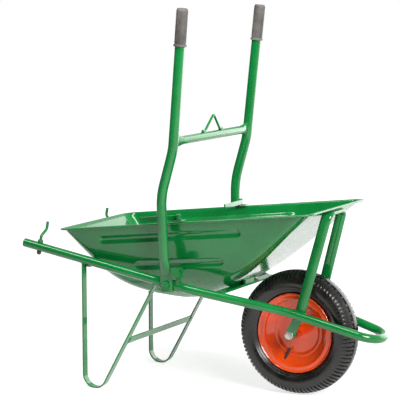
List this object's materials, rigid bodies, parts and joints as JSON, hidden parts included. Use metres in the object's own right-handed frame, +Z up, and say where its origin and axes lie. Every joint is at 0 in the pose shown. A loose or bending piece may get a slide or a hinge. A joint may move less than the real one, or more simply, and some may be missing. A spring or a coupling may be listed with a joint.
{
  "type": "wheelbarrow",
  "caption": "Single-wheel steel wheelbarrow: pressed tray on a bent tube frame with flat-bar legs, a rubber-tyred wheel and fold-up handles joined by a crossbar.",
  "frame": {"origin": "on the floor under the middle of the frame", "axes": "+X forward, the way the barrow is pushed; +Z up; the near side in the picture is -Y"},
  "size_m": [1.1299, 0.559, 1.1714],
  "materials": {
    "green_paint": "gloss",
    "rim_paint": "gloss",
    "tyre_rubber": "satin",
    "tube_rubber": "satin",
    "grip_rubber": "matte",
    "bush_plastic": "matte",
    "zinc": "satin",
    "dark_steel": "satin"
  },
  "bodies": {
    "frame": {"frame_tube": "green_paint", "tray": "green_paint", "near_leg": "green_paint", "far_leg": "green_paint", "leg_brace": "green_paint", "rear_bar": "green_paint", "front_bar": "green_paint", "tray_tab": "green_paint", "front_stay": "green_paint", "pivot_bolts": "green_paint", "pivot_nuts": "green_paint", "pivot_washers": "green_paint", "near_stop": "green_paint", "far_stop": "green_paint", "axle_bolt": "zinc", "axle_nut": "zinc", "axle_spacers": "green_paint", "axle_washers": "zinc", "near_latch_pin": "green_paint", "far_latch_pin": "green_paint"},
    "handles": {"near_handle": "green_paint", "far_handle": "green_paint", "handle_crossbar": "green_paint", "rope_eye": "green_paint", "near_grip": "grip_rubber", "far_grip": "grip_rubber"},
    "wheel": {"tyre": "tyre_rubber", "near_rim_half": "rim_paint", "far_rim_half": "rim_paint", "inner_tube": "tube_rubber", "valve": "tube_rubber", "hub": "rim_paint", "hub_bushes": "bush_plastic"},
    "near_hook_rod": {"near_hook": "green_paint", "near_hook_nut": "dark_steel"},
    "far_hook_rod": {"far_hook": "green_paint", "far_hook_nut": "dark_steel"},
    "near_latch": {"near_latch_arm": "green_paint"},
    "far_latch": {"far_latch_arm": "green_paint"}
  },
  "joints": [
    {"name": "wheel_spin", "type": "hinge", "parent": "frame", "child": "wheel", "pos_m": [0.281, 0, 0.19], "axis": [0, 1, 0], "continuous": true},
    {"name": "handle_fold", "type": "hinge", "parent": "frame", "child": "handles", "pos_m": [-0.052, 0, 0.343], "axis": [0, 1, 0], "range_deg": [-81.2, 0]},
    {"name": "near_hook_swivel", "type": "hinge", "parent": "frame", "child": "near_hook_rod", "pos_m": [-0.50847, -0.212, 0.42678], "axis": [0.1805, 0, 0.9836], "range_deg": [-90, 0]},
    {"name": "far_hook_swivel", "type": "hinge", "parent": "frame", "child": "far_hook_rod", "pos_m": [-0.50847, 0.212, 0.42678], "axis": [0.1805, 0, 0.9836], "range_deg": [0, 90]},
    {"name": "near_latch_swing", "type": "hinge", "parent": "frame", "child": "near_latch", "pos_m": [-0.018, -0.212, 0.53499], "axis": [-0.108, 0, 0.9942], "range_deg": [-90, 0]},
    {"name": "far_latch_swing", "type": "hinge", "parent": "frame", "child": "far_latch", "pos_m": [-0.018, 0.212, 0.53499], "axis": [-0.108, 0, 0.9942], "range_deg": [-92, 0]}
  ]
}
